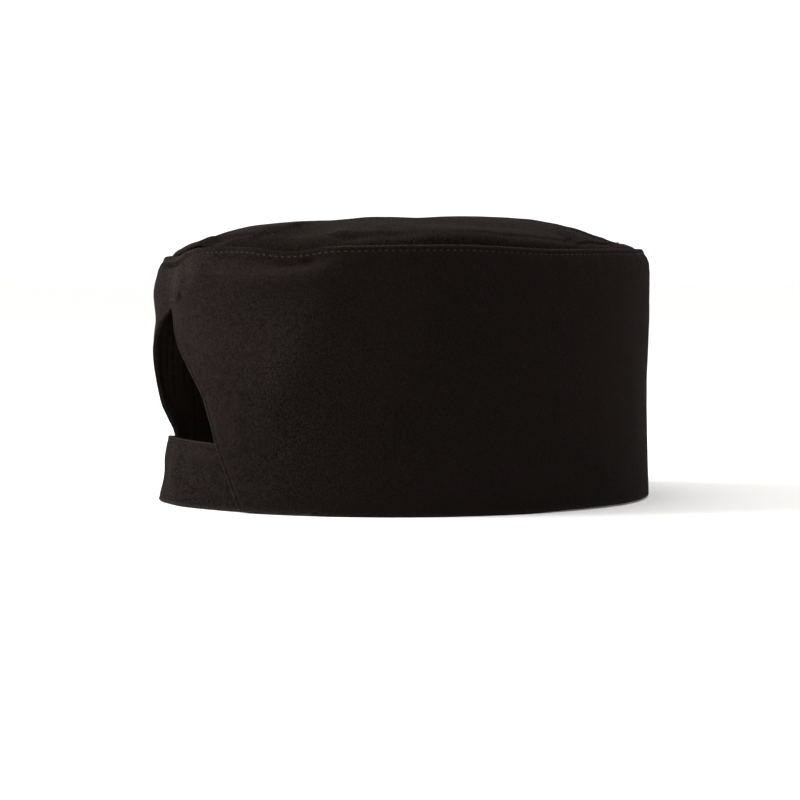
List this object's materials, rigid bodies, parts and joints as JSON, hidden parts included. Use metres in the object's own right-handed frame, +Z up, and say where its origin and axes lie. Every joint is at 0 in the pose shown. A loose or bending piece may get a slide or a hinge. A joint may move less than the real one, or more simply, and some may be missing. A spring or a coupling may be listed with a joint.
{
  "type": "cook's skull cap",
  "caption": "Low cylindrical skull cap in dark twill with a soft domed crown, a pointed opening at the back and a strap across its foot.",
  "frame": {"origin": "middle of the rim's oval, on the surface that the cap rests on", "axes": "+Z up through the crown, -Y towards the front of the cap, +Y towards the opening at the back, X across the head"},
  "size_m": [0.1785, 0.1975, 0.1113],
  "materials": {
    "band_twill": "matte woven twill, warm black",
    "crown_twill": "matte woven twill, warm black, a little dustier on top",
    "strap_twill": "matte woven twill, warm black, folded double"
  },
  "bodies": {
    "root": {"side_band": "band_twill", "crown": "crown_twill", "back_strap": "strap_twill"}
  },
  "joints": []
}
